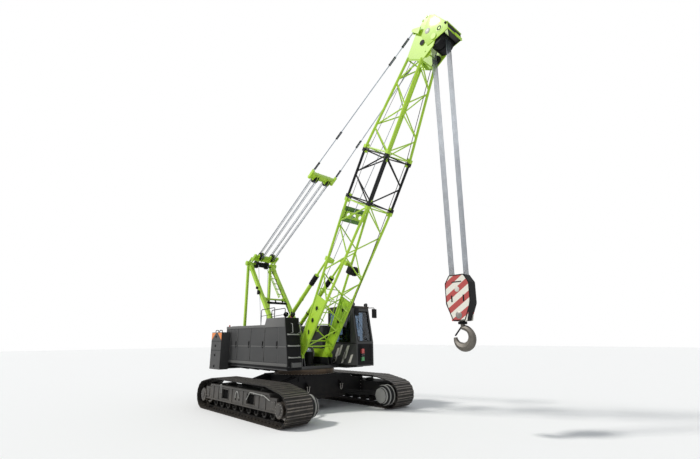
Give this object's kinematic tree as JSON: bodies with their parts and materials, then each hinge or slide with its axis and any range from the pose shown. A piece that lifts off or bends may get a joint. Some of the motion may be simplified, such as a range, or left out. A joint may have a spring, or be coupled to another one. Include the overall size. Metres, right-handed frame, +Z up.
{
  "type": "crawler crane",
  "caption": "Lattice-boom crawler crane with wide tracks, slewing upper, side cab, gantry, pendant suspension, backstops and hook block.",
  "frame": {"origin": "on the ground under the middle of the crane's box", "axes": "+X forward to the boom's head, +Y to the crane's left, +Z up"},
  "size_m": [13.2076, 6.32, 14.3006],
  "materials": {
    "lime_paint": "gloss",
    "slate_paint": "satin",
    "track_steel": "worn",
    "grey_paint": "satin",
    "dark_paint": "satin",
    "wire_rope": "galvanised",
    "seat_vinyl": "grained"
  },
  "bodies": {
    "undercarriage": {"carbody": "slate_paint", "track_frame_right": "grey_paint", "track_frame_left": "grey_paint", "track_loop_right": "track_steel", "track_loop_left": "track_steel", "sprocket_right": "track_steel", "sprocket_left": "track_steel", "idler_right": "track_steel", "idler_left": "track_steel", "travel_drive_right": "dark_paint", "travel_drive_left": "dark_paint", "slewing_ring_lower": "track_steel"},
    "upperworks": {"slewing_ring_upper": "track_steel", "upper_frame": "lime_paint", "swing_reducer": "grey_paint", "house_right": "slate_paint", "house_left": "slate_paint", "engine_block": "dark_paint", "counterweight_base": "slate_paint", "counterweight_block_right": "slate_paint", "counterweight_block_left": "slate_paint", "cab_shell": "slate_paint", "cab_seat": "seat_vinyl", "cab_mount": "dark_paint", "gantry_mast": "lime_paint", "gantry_link_right": "lime_paint", "gantry_link_left": "lime_paint", "gantry_sheaves": "grey_paint"},
    "side_door_1": {"house_door_1": "slate_paint"},
    "side_door_2": {"house_door_2": "slate_paint"},
    "side_door_3": {"house_door_3": "slate_paint"},
    "side_door_4": {"house_door_4": "slate_paint"},
    "sliding_cab_door": {"cab_door": "slate_paint"},
    "main_winch": {"main_drum": "grey_paint"},
    "auxiliary_winch": {"auxiliary_drum": "grey_paint"},
    "luffing_winch": {"luffing_drum": "grey_paint"},
    "boom": {"boom_foot": "lime_paint", "boom_insert": "dark_paint", "boom_tip": "lime_paint", "head_sheaves": "grey_paint"},
    "right_backstop_barrel": {"backstop_barrel_right": "lime_paint"},
    "left_backstop_barrel": {"backstop_barrel_left": "lime_paint"},
    "right_backstop_rod": {"backstop_rod_right": "lime_paint"},
    "left_backstop_rod": {"backstop_rod_left": "lime_paint"},
    "pendants": {"pendant_right": "wire_rope", "pendant_left": "wire_rope", "upper_spreader": "lime_paint"},
    "luffing_tackle": {"lower_spreader": "lime_paint", "luffing_rope_right": "wire_rope", "luffing_rope_left": "wire_rope"},
    "hoist_line": {"hoist_rope": "wire_rope"},
    "block": {"hook_block": "dark_paint"},
    "load_hook": {"hook": "dark_paint"}
  },
  "joints": [
    {"name": "slewing", "type": "hinge", "parent": "undercarriage", "child": "upperworks", "pos_m": [-1.57376, 0, 1.45], "axis": [0, 0, 1], "continuous": true},
    {"name": "boom_luff", "type": "hinge", "parent": "upperworks", "child": "boom", "pos_m": [-0.95976, 0, 2.098], "axis": [0, -1, 0], "range_deg": [-29.67, 20.33]},
    {"name": "side_door_1_hinge", "type": "hinge", "parent": "upperworks", "child": "side_door_1", "pos_m": [-5.37876, -1.516, 1.82], "axis": [0, 0, -1], "range_deg": [0, 85]},
    {"name": "side_door_2_hinge", "type": "hinge", "parent": "upperworks", "child": "side_door_2", "pos_m": [-4.70876, -1.516, 1.82], "axis": [0, 0, -1], "range_deg": [0, 110]},
    {"name": "side_door_3_hinge", "type": "hinge", "parent": "upperworks", "child": "side_door_3", "pos_m": [-3.52876, -1.516, 1.82], "axis": [0, 0, -1], "range_deg": [0, 110]},
    {"name": "side_door_4_hinge", "type": "hinge", "parent": "upperworks", "child": "side_door_4", "pos_m": [-2.37876, -1.516, 1.82], "axis": [0, 0, -1], "range_deg": [0, 110]},
    {"name": "cab_door_slide", "type": "slide", "parent": "upperworks", "child": "sliding_cab_door", "axis": [-1, 0, 0], "range_m": [0, 0.6]},
    {"name": "main_drum_turn", "type": "hinge", "parent": "upperworks", "child": "main_winch", "pos_m": [-1.92376, 0, 2.1], "axis": [0, 1, 0], "continuous": true},
    {"name": "auxiliary_drum_turn", "type": "hinge", "parent": "upperworks", "child": "auxiliary_winch", "pos_m": [-3.52376, 0, 2.1], "axis": [0, 1, 0], "continuous": true},
    {"name": "luffing_drum_turn", "type": "hinge", "parent": "upperworks", "child": "luffing_winch", "pos_m": [-4.67376, 0, 2.1], "axis": [0, 1, 0], "continuous": true},
    {"name": "right_backstop_hinge", "type": "hinge", "parent": "upperworks", "child": "right_backstop_barrel", "pos_m": [-2.72376, -0.42, 3.2], "axis": [0, -1, 0], "range_deg": [-25.33, 17.67]},
    {"name": "right_backstop_slide", "type": "slide", "parent": "right_backstop_barrel", "child": "right_backstop_rod", "axis": [0.7529, 0, 0.6581], "range_m": [-0.712, 1.03]},
    {"name": "left_backstop_hinge", "type": "hinge", "parent": "upperworks", "child": "left_backstop_barrel", "pos_m": [-2.72376, 0.42, 3.2], "axis": [0, -1, 0], "range_deg": [-25.33, 17.67]},
    {"name": "left_backstop_slide", "type": "slide", "parent": "left_backstop_barrel", "child": "left_backstop_rod", "axis": [0.7529, 0, 0.6581], "range_m": [-0.712, 1.03]},
    {"name": "pendant_hinge", "type": "hinge", "parent": "boom", "child": "pendants", "pos_m": [5.36823, 0, 13.94381], "axis": [0, -1, 0], "range_deg": [-2.55, 3.5]},
    {"name": "luffing_tackle_slide", "type": "slide", "parent": "pendants", "child": "luffing_tackle", "axis": [0.8275, 0, 0.5614], "range_m": [-3.256, 2.238], "deforming": ["luffing_rope_right", "luffing_rope_left"]},
    {"name": "hoist_plumb", "type": "hinge", "parent": "boom", "child": "hoist_line", "pos_m": [6.19376, 0, 13.19436], "axis": [0, -1, 0], "range_deg": [-20.83, 30.17]},
    {"name": "hoist", "type": "slide", "parent": "hoist_line", "child": "block", "axis": [0, 0, 1], "range_m": [-2.3, 6.8], "deforming": ["hoist_rope"]},
    {"name": "hook_swivel", "type": "hinge", "parent": "block", "child": "load_hook", "pos_m": [6.19376, 0, 3.23436], "axis": [0, 0, 1], "continuous": true}
  ],
  "couplings": [
    {"joint": "right_backstop_hinge", "follows": "boom_luff", "ratio": 0.82},
    {"joint": "right_backstop_slide", "follows": "boom_luff", "m_per_rad": -1.95},
    {"joint": "left_backstop_hinge", "follows": "boom_luff", "ratio": 0.82},
    {"joint": "left_backstop_slide", "follows": "boom_luff", "m_per_rad": -1.95},
    {"joint": "pendant_hinge", "follows": "boom_luff", "ratio": -0.101},
    {"joint": "luffing_tackle_slide", "follows": "boom_luff", "m_per_rad": 6.2498},
    {"joint": "hoist_plumb", "follows": "boom_luff", "ratio": -1}
  ]
}
